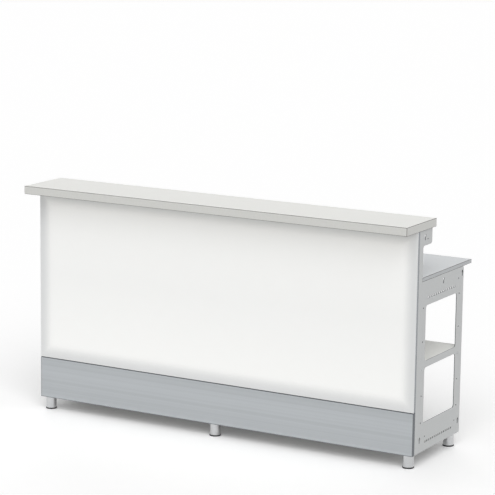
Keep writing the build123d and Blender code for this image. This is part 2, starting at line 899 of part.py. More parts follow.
def power_inlet():
    x, wall, z = inlet_place()
    front = wall + inlet_plate
    half_x, half_z = inlet_length / 2, inlet_height / 2
    body_x = (x - half_x + inlet_body_margin, x + half_x - inlet_body_margin)
    body_z = (z - half_z + inlet_body_margin, z + half_z - inlet_body_margin)
    plate = block((x - half_x, x + half_x), (wall, front), (z - half_z, z + half_z))
    plate = fillet(plate.edges().filter_by(Axis.Y), inlet_corner_radius)
    shape = plate + block(body_x, (wall - inlet_body_depth, wall), body_z)
    mouth = Plane((x - socket_offset, front, z), x_dir=(1, 0, 0), z_dir=(0, -1, 0))
    socket = RectangleRounded(socket_width, socket_height, socket_corner_radius)
    shape -= extrude(mouth * socket, socket_depth)
    back = (wall - inlet_body_depth, front - socket_depth)
    shape = cut(shape, [pin_block(*place, back, fastener_clearance) for place in pin_places()])
    pivot = rocker_pivot()
    side = rocker_width / 2 + rocker_side_gap
    half_height = rocker_radius + rocker_side_gap
    shape -= block((pivot[0] - side, pivot[0] + side), (front - rocker_cavity_depth, front),
                   (z - half_height, z + half_height))
    bearing = side + trunnion_length
    start = (pivot[0] - bearing, *pivot[1:])
    return shape - rod(start, (1, 0, 0), trunnion_radius + running_clearance, 2 * bearing)


def inlet_pins():
    wall = inlet_place()[1]
    depth = (wall - inlet_body_depth - pin_tail, wall + inlet_plate - pin_recess)
    return [pin_block(*place, depth) for place in pin_places()]


def rocker_switch():
    """A shallow V on two trunnions, its lower half pressed in: the switch is off."""
    pivot = rocker_pivot()
    middle = rocker_pivot_depth + rocker_proud
    end = middle + rocker_radius * tan(radians(rocker_tilt))
    outline = Polygon((-rocker_tail, -rocker_radius), (end, -rocker_radius), (middle, 0),
                      (end, rocker_radius), (-rocker_tail, rocker_radius), align=None)
    section = outline & Circle(rocker_radius)
    body = extrude(Plane.YZ * section, rocker_width / 2, both=True)
    half_axle = rocker_width / 2 + trunnion_length
    body += rod((-half_axle, 0, 0), (1, 0, 0), trunnion_radius, 2 * half_axle)
    return Pos(*pivot) * Rot(X=-rocker_tilt) * body


# Leads

def lead_places():
    """Where the four leads pass the left bay's liner: two stay in that bay and two cross to the other."""
    first = power_box_spans()[0][1] - lead_box_inset
    heights = (z_lead - lead_split, z_lead + lead_split, z_lead, z_lead)
    return [(first - lead_pitch * number, z) for number, z in enumerate(heights)]


def led_end_height(facing):
    seat = z_middle_rail if facing > 0 else z_top_rail - front_rail_height
    return seat + facing * (led_profile_wall + led_board / 2)


def lead(points):
    path = FilletPolyline(*points, radius=lead_bend)
    start = Plane(path @ 0, z_dir=path % 0)
    return sweep(start * Circle(lead_radius), path=path)


def led_leads_left():
    start = driver_spans()[1][0]
    end = bays["left"][1] - led_end_inset
    pieces = []
    for (x, z), facing in zip(lead_places()[2:], (1, -1)):
        height = led_end_height(facing)
        pieces.append(lead([(x, start, z), (x, y_lead, z), (x, y_lead, height), (end, y_lead, height)]))
    return pieces


def led_leads_right():
    start = driver_spans()[1][0]
    cross = bays["right"][0] + lead_cross_inset
    end = bays["right"][0] + led_end_inset
    pieces = []
    for (x, z), facing in zip(lead_places()[:2], (1, -1)):
        height = led_end_height(facing)
        pieces.append(lead([(x, start, z), (x, y_lead, z), (cross, y_lead, z), (cross, y_lead, height),
                            (end, y_lead, height)]))
    return pieces


def grommet(x, z, front, wall):
    bore = lead_radius + fastener_clearance
    shape = rod((x, front - grommet_lip, z), (0, 1, 0), grommet_radius, grommet_lip)
    shape += rod((x, front, z), (0, 1, 0), grommet_neck_radius, wall)
    shape += rod((x, front + wall, z), (0, 1, 0), grommet_radius, grommet_lip)
    return shape - rod((x, front - grommet_lip, z), (0, 1, 0), bore, wall + 2 * grommet_lip)


def lead_grommets():
    box_front = power_box_spans()[1][0]
    walls = ((y_liner_front, liner_thickness), (box_front, box_sheet))
    return [grommet(x, z, front, wall) for front, wall in walls for x, z in lead_places()]


def lead_clip(y):
    """A comb on the middle frame's sheet that holds the four leads side by side."""
    right = bays["left"][1]
    left = lead_places()[-1][0] - clip_margin
    front = y - clip_depth / 2
    height = (z_lead - clip_height / 2, z_lead + clip_height / 2)
    comb = block((left, right), (front, front + clip_depth), height)
    bore = lead_radius + fastener_clearance
    return cut(comb, [rod((x, front, z), (0, 1, 0), bore, clip_depth) for x, z in lead_places()])


def lead_clips():
    span = (y_column_rear, power_box_spans()[1][0])
    return [lead_clip(y) for y in spread(span, clip_end_margin, clip_count)]


# All pieces, by name

pieces = {
    "bar_top": bar_top(),
    "worktop": worktop(),
    "light_panel_face": light_panel_face(),
    "light_panel_frame": light_panel_frame(),
    "kick_panel": kick_panel(),
    "packing_strips": packing_strips(),
    "shelf_brackets": shelf_brackets(),
    "shelf_bolts": shelf_bolts(),
    "leg_bushes": [leg_bush(x, y) for x, y in leg_places.values()],
    "leg_nuts": [leg_nut(x, y) for x, y in leg_places.values()],
    "led_profiles": [led_profile(*place) for place in led_places()],
    "led_strips": [led_strip(*place) for place in led_places()],
    "power_box": power_box(),
    "power_box_lid": power_box_lid(),
    "led_driver": led_driver(),
    "power_inlet": power_inlet(),
    "inlet_pins": inlet_pins(),
    "rocker_switch": rocker_switch(),
    "led_leads_left": led_leads_left(),
    "led_leads_right": led_leads_right(),
    "lead_grommets": lead_grommets(),
    "lead_clips": lead_clips(),
    "rail_screws": [flush_screw(*place) for place in front_rail_screws() + worktop_rail_screws()],
    "top_screws": [pan_screw(*place) for place in bar_screws() + worktop_screws()],
    "box_screws": [pan_screw(*place) for place in ear_screws() + lid_screws()],
}
panel_screw_places = light_screws() + kick_screws()
for frame in webs:
    pieces[f"{frame}_frame"] = upright_frame(frame)
for bay in bays:
    pieces[f"front_top_rail_{bay}"] = front_rail(bay, z_top_rail)
    pieces[f"front_middle_rail_{bay}"] = front_rail(bay, z_middle_rail)
    for place, depth in worktop_rail_depths().items():
        pieces[f"worktop_{place}_rail_{bay}"] = worktop_rail(bay, depth)
    pieces[f"base_shelf_{bay}"] = base_shelf(bay)
    pieces[f"middle_shelf_{bay}"] = middle_shelf(bay)
    pieces[f"bay_liner_{bay}"] = bay_liner(bay)
    pieces[f"splashback_{bay}"] = splashback(bay)
    panel_screw_places += lining_screws(bay, z_middle_rail) + lining_screws(bay, z_top_rail)
pieces["panel_screws"] = [pan_screw(*place) for place in panel_screw_places]
for (line, row), (x, y) in leg_places.items():
    pieces[f"leg_tube_{line}_{row}"] = leg_tube(x, y)
    pieces[f"levelling_foot_{line}_{row}"] = levelling_foot(x, y)

os.makedirs("parts", exist_ok=True)
for name, shape in pieces.items():
    if isinstance(shape, list):
        shape = Compound(solids_of(shape))
    export_step(shape, f"parts/{name}.step")
print(len(pieces), "pieces written")
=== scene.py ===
import json
from math import cos, pi, radians, sin, tau

import bmesh
import bpy
from bpy.props import FloatProperty, FloatVectorProperty, IntProperty, PointerProperty
from mathutils import Matrix, Vector


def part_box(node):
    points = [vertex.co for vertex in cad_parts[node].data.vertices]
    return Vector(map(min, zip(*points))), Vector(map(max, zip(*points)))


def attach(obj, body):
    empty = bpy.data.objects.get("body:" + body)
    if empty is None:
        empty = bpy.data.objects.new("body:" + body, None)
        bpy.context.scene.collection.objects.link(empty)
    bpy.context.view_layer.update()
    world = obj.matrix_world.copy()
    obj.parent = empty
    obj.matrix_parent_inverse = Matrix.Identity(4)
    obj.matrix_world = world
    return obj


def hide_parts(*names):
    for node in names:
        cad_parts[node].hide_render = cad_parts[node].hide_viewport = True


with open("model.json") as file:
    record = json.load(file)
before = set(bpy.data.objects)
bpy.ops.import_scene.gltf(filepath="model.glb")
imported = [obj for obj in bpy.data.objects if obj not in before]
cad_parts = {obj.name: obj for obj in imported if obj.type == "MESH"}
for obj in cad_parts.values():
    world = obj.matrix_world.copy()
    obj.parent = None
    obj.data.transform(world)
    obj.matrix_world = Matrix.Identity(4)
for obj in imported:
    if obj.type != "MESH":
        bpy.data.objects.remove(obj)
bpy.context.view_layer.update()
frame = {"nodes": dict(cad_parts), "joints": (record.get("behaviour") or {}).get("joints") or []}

bl_info = {
    "name": "Illuminated bar counter",
    "version": (1, 0, 0),
    "blender": (4, 5, 0),
    "location": "3D View > Sidebar > Counter",
    "description": "Dresses the counter's solids in their finishes and sets a plain studio round them",
    "category": "Object",
}

BAYS = ("left", "right")
FEET = [f"{line}_{row}" for line in ("front", "rear") for row in ("left", "middle", "right")]
BLACK = (0.0, 0.0, 0.0)
WHITE = (1.0, 1.0, 1.0)

# Sockets of the Mix node, where it mixes two colours
FACTOR, FIRST, SECOND, MIXED = 0, 6, 7, 2


# Sizes, colours and studio values that a user would change

def linear(code):
    """An sRGB hex colour as linear red, green and blue."""
    shares = [int(code[place:place + 2], 16) / 255 for place in (1, 3, 5)]
    return [share / 12.92 if share <= 0.04045 else ((share + 0.055) / 1.055) ** 2.4 for share in shares]


def colour_property(name, description, code):
    return FloatVectorProperty(name=name, description=description, subtype="COLOR", size=3,
                               min=0.0, max=1.0, default=linear(code))


def length_property(name, description, millimetres):
    return FloatProperty(name=name, description=description, unit="LENGTH", min=0.0,
                         default=millimetres / 1000)


def share_property(name, description, default):
    return FloatProperty(name=name, description=description, subtype="FACTOR", min=0.0, max=1.0,
                         default=default)


def angle_property(name, description, degrees):
    return FloatProperty(name=name, description=description, subtype="ANGLE", default=radians(degrees))


class CounterSizes(bpy.types.PropertyGroup):
    """Sizes of the surface patterns and of the small forms made here."""
    seam: length_property("Laminate seam", "Dark core line along a laminated edge", 1.8)
    pearl: length_property("Pearl grain", "Grain of a satin laminate", 9.0)
    pearl_depth: length_property("Pearl depth", "Depth of that grain", 0.05)
    peel: length_property("Orange peel", "Width of the waves in a powder coat", 8.0)
    peel_depth: length_property("Orange peel depth", "Depth of those waves", 0.12)
    brush_width: length_property("Brush line width", "Width of a line in brushed sheet", 2.6)
    foil_width: length_property("Foil line width", "Width of a line in the kick panel's foil", 8.0)
    ring_width: length_property("Brush ring width", "Width of a line round a brushed tube", 1.1)
    brush_length: length_property("Brush line length", "Length of a line in brushed metal", 6000.0)
    brush_depth: length_property("Brush line depth", "Depth of a line in brushed metal", 0.02)
    spangle: length_property("Spangle", "Width of a zinc crystal on galvanised steel", 9.0)
    spangle_depth: length_property("Spangle depth", "Step between two zinc crystals", 0.01)
    foam_cell: length_property("Foam cell", "Cells of the foamed sheet", 5.0)
    foam_depth: length_property("Foam depth", "Depth of those cells", 0.06)
    haze: length_property("Haze", "Soft ripple in the gloss of the opal face", 60.0)
    haze_depth: length_property("Haze depth", "Depth of that ripple", 0.05)
    blotch: length_property("Blotch", "Width of a blotch in zinc plating or lacquer", 6.0)
    blotch_depth: length_property("Blotch depth", "Depth of such a blotch", 0.01)
    slide: length_property("Slide mark", "Width of a sliding mark on a pin", 0.6)
    slide_length: length_property("Slide mark length", "Length of a sliding mark on a pin", 12.0)
    slide_depth: length_property("Slide mark depth", "Depth of a sliding mark on a pin", 0.005)
    grit: length_property("Moulded grit", "Grain of a moulded plastic", 1.2)
    grit_depth: length_property("Moulded grit depth", "Depth of that grain", 0.04)
    edging: length_property("Edging", "Plastic edging round the kick panel", 2.5)
    frame_sheet: length_property("Frame sheet", "Thickness of the sheet of the end frames", 3.0)
    fold_margin: length_property("Fold margin", "Width of the folds along an end frame's outline", 4.0)
    glow_rim: length_property("Panel rim", "Rim of the lit panel, in front of its edge frame", 20.0)
    glow_fade: length_property("Panel fade", "Width over which the light rises beside that rim", 55.0)
    board: length_property("Lamp board", "Height of the board under the lamps", 1.7)
    thread_pitch: length_property("Thread pitch", "Pitch of a levelling foot's thread", 3.0)
    thread_depth: length_property("Thread depth", "Depth of a levelling foot's thread", 1.3)
    shank_radius: length_property("Shank radius", "Outer radius of a levelling foot's thread", 10.0)
    shank_chamfer: length_property("Shank chamfer", "Chamfer at the end of the shank", 0.8)
    base_height: length_property("Base height", "Height of a levelling foot's base", 6.0)
    base_chamfer: length_property("Base chamfer", "Chamfer round that base", 1.0)
    hex_flats: length_property("Hexagon", "Spanner size of a levelling foot", 24.0)
    hex_height: length_property("Hexagon height", "Height of that hexagon", 3.5)
    hex_chamfer: length_property("Hexagon chamfer", "Broken edge on top of that hexagon", 0.6)
    grip_depth: length_property("Grip depth", "Depth of the finger notches round the base", 0.9)
    grip_count: IntProperty(name="Grip notches", description="Finger notches round the base",
                            default=16, min=3)
    mark_relief: length_property("Mark relief", "How far a printed mark stands out of the rocker", 0.12)
    mark_height: length_property("Mark height", "Height of a mark on the rocker", 4.0)
    mark_stroke: length_property("Mark stroke", "Line width of a mark on the rocker", 0.8)
    mark_offset: length_property("Mark offset", "From the rocker's valley to a mark", 4.7)
    rocker_valley: length_property("Rocker valley", "From the rocker's pivot to its valley", 4.7)


class CounterColours(bpy.types.PropertyGroup):
    """Colours of the finishes."""
    bar: colour_property("Bar top", "White satin laminate", "#E4E4E0")
    worktop: colour_property("Worktop", "Pale grey satin laminate", "#C9CCCE")
    core: colour_property("Laminate core", "Core paper that shows at an edge", "#3B3733")
    shelf: colour_property("Shelves", "Off-white melamine", "#DEDEDA")
    glue: colour_property("Glue line", "Glue line along the edges of a shelf", "#9B9B98")
    kick: colour_property("Kick panel", "Brushed aluminium laminate", "#B7BBBE")
    edging: colour_property("Edging", "Dark grey plastic edging of the kick panel", "#6F7377")
    opal: colour_property("Opal acrylic", "Face of the lit panel", "#E0E2E3")
    glow: colour_property("Lamp light", "Light of the lamps through the acrylic", "#FFFCF5")
    anodised: colour_property("Anodised aluminium", "Satin anodised extrusion", "#8F9397")
    coat: colour_property("Powder coat", "Pale grey powder coat of the frames", "#DADCDC")
    # Painted dark grey on the cut walls of holes and windows: partly oxide, partly painted shade in the
    # holes
    cut: colour_property("Cut edge", "Oxide on the laser-cut edges of the end frames", "#55595C")
    zinc: colour_property("Zinc", "Galvanised and zinc-plated steel", "#C4C6C7")
    stainless: colour_property("Stainless steel", "Brushed stainless steel", "#C8C9CA")
    foam: colour_property("Foamed sheet", "White foamed sheet of the bay liners", "#E4E4E0")
    nylon: colour_property("Black nylon", "Moulded feet and bushes", "#1B1C1E")
    rubber: colour_property("Rubber", "Packing strips and grommets", "#202021")
    board: colour_property("Circuit board", "White lacquer of the lamp strips", "#ECECE5")
    phosphor: colour_property("Phosphor", "Yellow cover of an unlit lamp", "#E8CF74")
    box: colour_property("Power box", "Grey powder coat", "#8E9193")
    moulding: colour_property("Black moulding", "Inlet and rocker switch", "#141517")
    brass: colour_property("Nickelled brass", "Pins of the inlet", "#CFC8B0")
    sheath: colour_property("Lead sheath", "Flexible sheath of the leads", "#1F2022")
    clip: colour_property("White nylon", "Clips for the leads", "#E6E4DB")
    mark: colour_property("Printed mark", "White print on the rocker", "#F0F0EC")
    floor: colour_property("Floor", "Floor of the studio", "#FFFFFF")
    floor_bounce: colour_property("Floor bounce", "Floor as the counter sees it", "#B4B4B4")
    floor_lift: colour_property("Floor lift", "Added to the floor where it is seen, to bring it to white",
                                "#575757")


class CounterStudio(bpy.types.PropertyGroup):
    """Camera and light."""
    place: FloatVectorProperty(name="Camera place", description="Where the camera stands", size=3,
                               subtype="TRANSLATION", unit="LENGTH", default=(5.0682, -8.8815, 2.8202))
    azimuth: angle_property("Azimuth", "Turn of the view about the vertical", 29.635)
    elevation: angle_property("Elevation", "How far the view looks down", 10.830)
    roll: angle_property("Roll", "Turn of the picture about the view", 0.717)
    lens: FloatProperty(name="Lens", description="Focal length on a 36 mm sensor", default=162.67,
                        subtype="DISTANCE_CAMERA")
    reach: length_property("Camera reach", "Furthest distance seen", 300000)
    floor_size: length_property("Floor size", "Side of the floor", 240000)
    sky: FloatProperty(name="Sky", description="Strength of the even light from all round", default=0.46)
    key: FloatProperty(name="Key", description="Strength of the main lamp", default=1.65)
    key_softness: angle_property("Key softness", "Angle that the main lamp fills", 50)
    key_from: FloatVectorProperty(name="Key direction", description="Towards the main lamp", size=3,
                                  subtype="DIRECTION", default=(0.38, -0.62, 0.72))
    fill: FloatProperty(name="Fill", description="Strength of the lamp behind the counter", default=0.8)
    fill_softness: angle_property("Fill softness", "Angle that the lamp behind fills", 35)
    fill_from: FloatVectorProperty(name="Fill direction", description="Towards the lamp behind", size=3,
                                   subtype="DIRECTION", default=(-0.45, 0.8, 0.26))
    glow: share_property("Panel light", "Strength of the lit panel", 0.35)
    glow_at_rim: share_property("Light at rim", "Share of that light at the rim", 0.35)
    glow_at_middle: share_property("Light at middle", "Share of that light furthest from the lamps", 0.86)


def sizes():
    return bpy.context.scene.counter_sizes


def colours():
    return bpy.context.scene.counter_colours


# Solids from the frame

def extent_of(node):
    """How long, deep and high a solid is."""
    low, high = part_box(node)
    return high - low


def dress(material, *nodes):
    """Gives solids a finish in place of their own."""
    for node in nodes:
        slots = frame["nodes"][node].data.materials
        slots.clear()
        slots.append(material)


# Material building

def add(tree, kind, settings=None, links=None):
    """A new node with its settings and with links into its sockets."""
    node = tree.nodes.new(kind)
    for name, value in (settings or {}).items():
        if isinstance(name, int) or name in node.inputs:
            node.inputs[name].default_value = value
        else:
            setattr(node, name, value)
    for name, source in (links or {}).items():
        tree.links.new(source, node.inputs[name])
    return node


def opaque(colour, share=1.0):
    """A colour made lighter or darker by a share, with its alpha."""
    return (*[min(channel * share, 1.0) for channel in colour], 1.0)


def plain_finish(name, colour, roughness, metallic=0.0, sockets=None):
    """A material with even values on its shader, ready for a pattern."""
    material = bpy.data.materials.new(name)
    material.use_nodes = True
    shader = material.node_tree.nodes["Principled BSDF"]
    values = {"Base Color": opaque(colour), "Roughness": roughness, "Metallic": metallic}
    for socket, value in {**values, **(sockets or {})}.items():
        shader.inputs[socket].default_value = value
    return material, material.node_tree, shader


def grain(tree, width, stretch=(1.0, 1.0, 1.0), detail=3.0, band=(0.3, 0.7)):
    """A random pattern from 0 to 1, of that real width, drawn out along an axis where asked. Raw noise
    stays mostly within a band round its middle, which is spread out here."""
    place = add(tree, "ShaderNodeTexCoord")
    sized = add(tree, "ShaderNodeMapping", {"Scale": [1 / (width * share) for share in stretch]},
                {"Vector": place.outputs["Object"]})
    noise = add(tree, "ShaderNodeTexNoise", {"Scale": 1.0, "Detail": detail},
                {"Vector": sized.outputs["Vector"]})
    return add(tree, "ShaderNodeMapRange", {"From Min": band[0], "From Max": band[1]},
               {"Value": noise.outputs["Fac"]}).outputs["Result"]


def show(tree, shader, pattern, drift, spread, depth, over=()):
    """Lets a pattern show in a surface: as a drift of its colour, a spread of its roughness and a relief
    of that depth. Each pair in over is a mask and a colour, which covers the rest where the mask is one."""
    colour = shader.inputs["Base Color"].default_value[:3]
    roughness = shader.inputs["Roughness"].default_value
    ends = {FIRST: opaque(colour, 1 - drift), SECOND: opaque(colour, 1 + drift)}
    tones = add(tree, "ShaderNodeMix", {"data_type": "RGBA", **ends}, {FACTOR: pattern})
    for mask, cover in over:
        tones = add(tree, "ShaderNodeMix", {"data_type": "RGBA", SECOND: opaque(cover)},
                    {FACTOR: mask, FIRST: tones.outputs[MIXED]})
    gloss = {"To Min": roughness - spread, "To Max": roughness + spread}
    rough = add(tree, "ShaderNodeMapRange", gloss, {"Value": pattern})
    bump = add(tree, "ShaderNodeBump", {"Distance": depth}, {"Height": pattern})
    tree.links.new(tones.outputs[MIXED], shader.inputs["Base Color"])
    tree.links.new(rough.outputs["Result"], shader.inputs["Roughness"])
    tree.links.new(bump.outputs["Normal"], shader.inputs["Normal"])


def edge_distances(tree, extent):
    """How far a point lies inside the box of a piece of that extent, along each axis."""
    half = (0.5, 0.5, 0.5)
    place = add(tree, "ShaderNodeTexCoord")
    centred = add(tree, "ShaderNodeVectorMath", {"operation": "SUBTRACT", 1: half},
                  {0: place.outputs["Generated"]})
    folded = add(tree, "ShaderNodeVectorMath", {"operation": "ABSOLUTE"}, {0: centred.outputs[0]})
    inside = add(tree, "ShaderNodeVectorMath", {"operation": "SUBTRACT", 0: half}, {1: folded.outputs[0]})
    real = add(tree, "ShaderNodeVectorMath", {"operation": "MULTIPLY", 1: tuple(extent)},
               {0: inside.outputs[0]})
    return add(tree, "ShaderNodeSeparateXYZ", {}, {"Vector": real.outputs[0]}).outputs


def edge_line(tree, extent, width, solid=0.75):
    """A mask of one along the edges of a board, where the middle one of its three distances is small. It
    is solid over that share of its width, and fades over the rest."""
    x, y, z = edge_distances(tree, extent)
    lesser = add(tree, "ShaderNodeMath", {"operation": "MINIMUM"}, {0: x, 1: y})
    greater = add(tree, "ShaderNodeMath", {"operation": "MAXIMUM"}, {0: x, 1: y})
    upper = add(tree, "ShaderNodeMath", {"operation": "MINIMUM"}, {0: greater.outputs[0], 1: z})
    middle = add(tree, "ShaderNodeMath", {"operation": "MAXIMUM"},
                 {0: lesser.outputs[0], 1: upper.outputs[0]})
    soft = {"From Min": width * solid, "From Max": width, "To Min": 1.0, "To Max": 0.0}
    return add(tree, "ShaderNodeMapRange", soft, {"Value": middle.outputs[0]}).outputs["Result"]


def cut_edges(tree, node, square=0.5):
    """A mask of one on the cut edges of an end frame: within its sheet, square to its face, and away from
    its outline, where the sheet is folded over. A surface is square to the face where its normal points
    outward by less than that share."""
    size = sizes()
    place = add(tree, "ShaderNodeTexCoord")
    across = add(tree, "ShaderNodeSeparateXYZ", {}, {"Vector": place.outputs["Object"]})
    outward = add(tree, "ShaderNodeMath", {"operation": "ABSOLUTE"}, {0: across.outputs["X"]})
    inner_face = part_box(node)[1].x - size.frame_sheet
    in_sheet = add(tree, "ShaderNodeMath", {"operation": "GREATER_THAN", 1: inner_face},
                   {0: outward.outputs[0]})
    facing = add(tree, "ShaderNodeSeparateXYZ", {}, {"Vector": place.outputs["Normal"]})
    turned = add(tree, "ShaderNodeMath", {"operation": "ABSOLUTE"}, {0: facing.outputs["X"]})
    on_cut = add(tree, "ShaderNodeMath", {"operation": "LESS_THAN", 1: square}, {0: turned.outputs[0]})
    _, y, z = edge_distances(tree, extent_of(node))
    nearest = add(tree, "ShaderNodeMath", {"operation": "MINIMUM"}, {0: y, 1: z})
    inside = add(tree, "ShaderNodeMath", {"operation": "GREATER_THAN", 1: size.fold_margin},
                 {0: nearest.outputs[0]})
    both = add(tree, "ShaderNodeMath", {"operation": "MULTIPLY"},
               {0: in_sheet.outputs[0], 1: on_cut.outputs[0]})
    return add(tree, "ShaderNodeMath", {"operation": "MULTIPLY"},
               {0: both.outputs[0], 1: inside.outputs[0]}).outputs[0]


# Finishes that several pieces share

def laminated_board(name, colour, extent):
    """High-pressure laminate, pressed on board and trimmed flush: a soft satin sheen with a pearl grain,
    and the dark core of the sheet showing as a hair line along each edge. A real grain is under 1 mm and a
    real line under 1 mm, too fine to show, so both are drawn coarser."""
    size = sizes()
    material, tree, shader = plain_finish(name, colour, roughness=0.42)
    core = (edge_line(tree, extent, size.seam), colours().core)
    show(tree, shader, grain(tree, size.pearl), drift=0.022, spread=0.06, depth=size.pearl_depth,
         over=[core])
    return material


def powder_coat(name, colour, roughness, cut_node=None):
    """Powder coat, sprayed dry and baked: an even satin film that flows into faint orange-peel waves. Real
    waves are about 2 mm wide, too fine to show, so they are drawn coarser. On a sheet that was cut by laser
    the cut edges are painted dark grey: partly the oxide where the film draws back from those sharp edges,
    partly painted shade on the walls of the holes and windows."""
    size = sizes()
    material, tree, shader = plain_finish(name, colour, roughness)
    # Partly the oxide of the cut, partly painted shade on the walls of the holes and windows
    oxide_and_painted_shade = [(cut_edges(tree, cut_node), colours().cut)] if cut_node else []
    show(tree, shader, grain(tree, size.peel), drift=0.02, spread=0.06, depth=size.peel_depth, over=oxide_and_painted_shade)
    return material


def brushed_metal(name, colour, roughness, lines):
    """Metal drawn under an abrasive belt: long fine lines that smear each highlight across them. Real
    lines are about 0.1 mm wide, too fine to show, so they are drawn coarser."""
    material, tree, shader = plain_finish(name, colour, roughness, metallic=1.0)
    show(tree, shader, grain(tree, *lines), drift=0.05, spread=0.09, depth=sizes().brush_depth)
    return material


def plastic(name, colour, roughness, sockets=None):
    """Plastic, rubber or ink with the fine grit of its mould, its die or its screen: even colour, with
    highlights that the grit breaks up. Real grit is about 0.1 mm, too fine to show, so it is coarser."""
    size = sizes()
    material, tree, shader = plain_finish(name, colour, roughness, sockets=sockets)
    show(tree, shader, grain(tree, size.grit), drift=0.06, spread=0.06, depth=size.grit_depth)
    return material


def along_x(width):
    """Brush lines that run along the counter: their width, and how far they are drawn out on each axis."""
    return width, (sizes().brush_length / width, 1.0, 1.0)


def round_tube(width):
    """Brush lines that run round an upright tube."""
    draw = sizes().brush_length / width
    return width, (draw, draw, 1.0)


# Mesh building

def new_piece(name, form, material):
    """An object from a finished bmesh, with its outside facing out."""
    bmesh.ops.recalc_face_normals(form, faces=form.faces)
    mesh = bpy.data.meshes.new(name)
    form.to_mesh(mesh)
    form.free()
    mesh.materials.append(material)
    piece = bpy.data.objects.new(name, mesh)
    bpy.context.scene.collection.objects.link(piece)
    return piece


def bridge(form, first, second):
    """Faces between two loops of as many points."""
    for step in range(len(first)):
        ahead = (step + 1) % len(first)
        form.faces.new((first[step], first[ahead], second[ahead], second[step]))


def skin(name, rings, origin, material, steps=96, crease=radians(32)):
    """A closed skin over rings that rise round a vertical axis. A ring is its height and a function that
    gives its radius at an angle."""
    form = bmesh.new()
    angles = [tau * step / steps for step in range(steps)]
    rows = []
    for height, radius_at in rings:
        spokes = [Vector((cos(angle), sin(angle), 0.0)) * radius_at(angle) for angle in angles]
        rows.append([form.verts.new(origin + spoke + Vector((0.0, 0.0, height))) for spoke in spokes])
    for lower, upper in zip(rows, rows[1:]):
        bridge(form, lower, upper)
    form.faces.new(reversed(rows[0]))
    form.faces.new(rows[-1])
    for face in form.faces:
        face.smooth = True
    piece = new_piece(name, form, material)
    piece.data.set_sharp_from_angle(angle=crease)
    return piece


def base_rings(radius, notch_power=6):
    """A levelling foot's base: a disc with a chamfer at both edges and finger notches round its rim. A
    higher even power makes the notches narrower."""
    size = sizes()
    narrow = radius - size.base_chamfer

    def rim(angle):
        return radius - size.grip_depth * sin(size.grip_count * angle / 2) ** notch_power

    return [
        (0.0, lambda angle: narrow),
        (size.base_chamfer, rim),
        (size.base_height - size.base_chamfer, rim),
        (size.base_height, lambda angle: narrow),
    ]


def hexagon_rings():
    """The spanner hexagon on the base, with its top edge broken."""
    size = sizes()
    side = tau / 6
    top = size.base_height + size.hex_height

    def corner(angle):
        return size.hex_flats / 2 / cos(angle % side - side / 2)

    def broken(angle):
        return min(corner(angle), size.hex_flats / 2 + size.hex_chamfer)

    return [(size.base_height, corner), (top - size.hex_chamfer, corner), (top, broken)]


def thread_rings(start, end, rows_per_turn=8, flank=0.3, tooth=0.8):
    """The threaded shank. Its thread rises out of the core over the first turn and sinks back over the
    last. The tooth and each of its flanks are given as shares of the pitch."""
    size = sizes()
    core = size.shank_radius - size.thread_depth
    last = end - size.shank_chamfer
    count = int((last - start) / size.thread_pitch * rows_per_turn)

    def thread_row(height):
        turns = height / size.thread_pitch
        fade = min(1.0, (height - start) / size.thread_pitch, (last - height) / size.thread_pitch)

        def radius_at(angle):
            turn = (turns - angle / tau) % 1.0
            rise = min(turn, tooth - turn) / flank
            return core + size.thread_depth * fade * max(0.0, min(1.0, rise))

        return height, radius_at

    rings = [thread_row(start + (last - start) * step / count) for step in range(count + 1)]
    return rings + [(end, lambda angle: core - size.shank_chamfer)]


def rocker_face(half):
    """The plane of one half of the rocker: its middle, then across, up and out of the face. Each half
    slopes by half of the rocker's travel, so that the pressed half stands upright."""
    size = sizes()
    joint = next(entry for entry in frame["joints"] if entry["child"] == "rocker")
    slope = radians(joint["range_deg"][1]) / 2
    across = Vector((-1.0, 0.0, 0.0))
    up = Vector((0.0, sin(slope) * half, cos(slope)))
    out = Vector((0.0, cos(slope), -sin(slope) * half))
    middle = Vector((0.0, size.rocker_valley, 0.0)) + up * half * size.mark_offset
    tilt = Matrix.Rotation(-slope, 3, "X")
    return Vector(joint["pos_m"]) + tilt @ middle, across, tilt @ up, tilt @ out


def printed_mark(name, outline, hole, plane, material):
    """A thin print on a plane: an outline, with a hole of as many points where one is given."""
    height = sizes().mark_relief
    middle, across, up, out = plane
    form = bmesh.new()

    def loop(points, level):
        return [form.verts.new(middle + across * x + up * y + out * level) for x, y in points]

    low, high = loop(outline, -height), loop(outline, height)
    bridge(form, low, high)
    if hole:
        hole_low, hole_high = loop(hole, -height), loop(hole, height)
        bridge(form, hole_high, hole_low)
        bridge(form, high, hole_high)
        bridge(form, hole_low, low)
    else:
        form.faces.new(high)
        form.faces.new(reversed(low))
    return new_piece(name, form, material)


# Operators, one for each piece or group of like pieces

class COUNTER_OT_bar_top(bpy.types.Operator):
    """Dresses the bar top in white laminate"""
    bl_idname = "counter.bar_top"
    bl_label = "Bar top"

    def execute(self, context):
        dress(laminated_board("laminate_pressed_white", colours().bar, extent_of("bar_top")), "bar_top")
        return {"FINISHED"}


class COUNTER_OT_worktop(bpy.types.Operator):
    """Dresses the worktop in pale grey laminate"""
    bl_idname = "counter.worktop"
    bl_label = "Worktop"

    def execute(self, context):
        dress(laminated_board("laminate_pressed_grey", colours().worktop, extent_of("worktop")), "worktop")
        return {"FINISHED"}


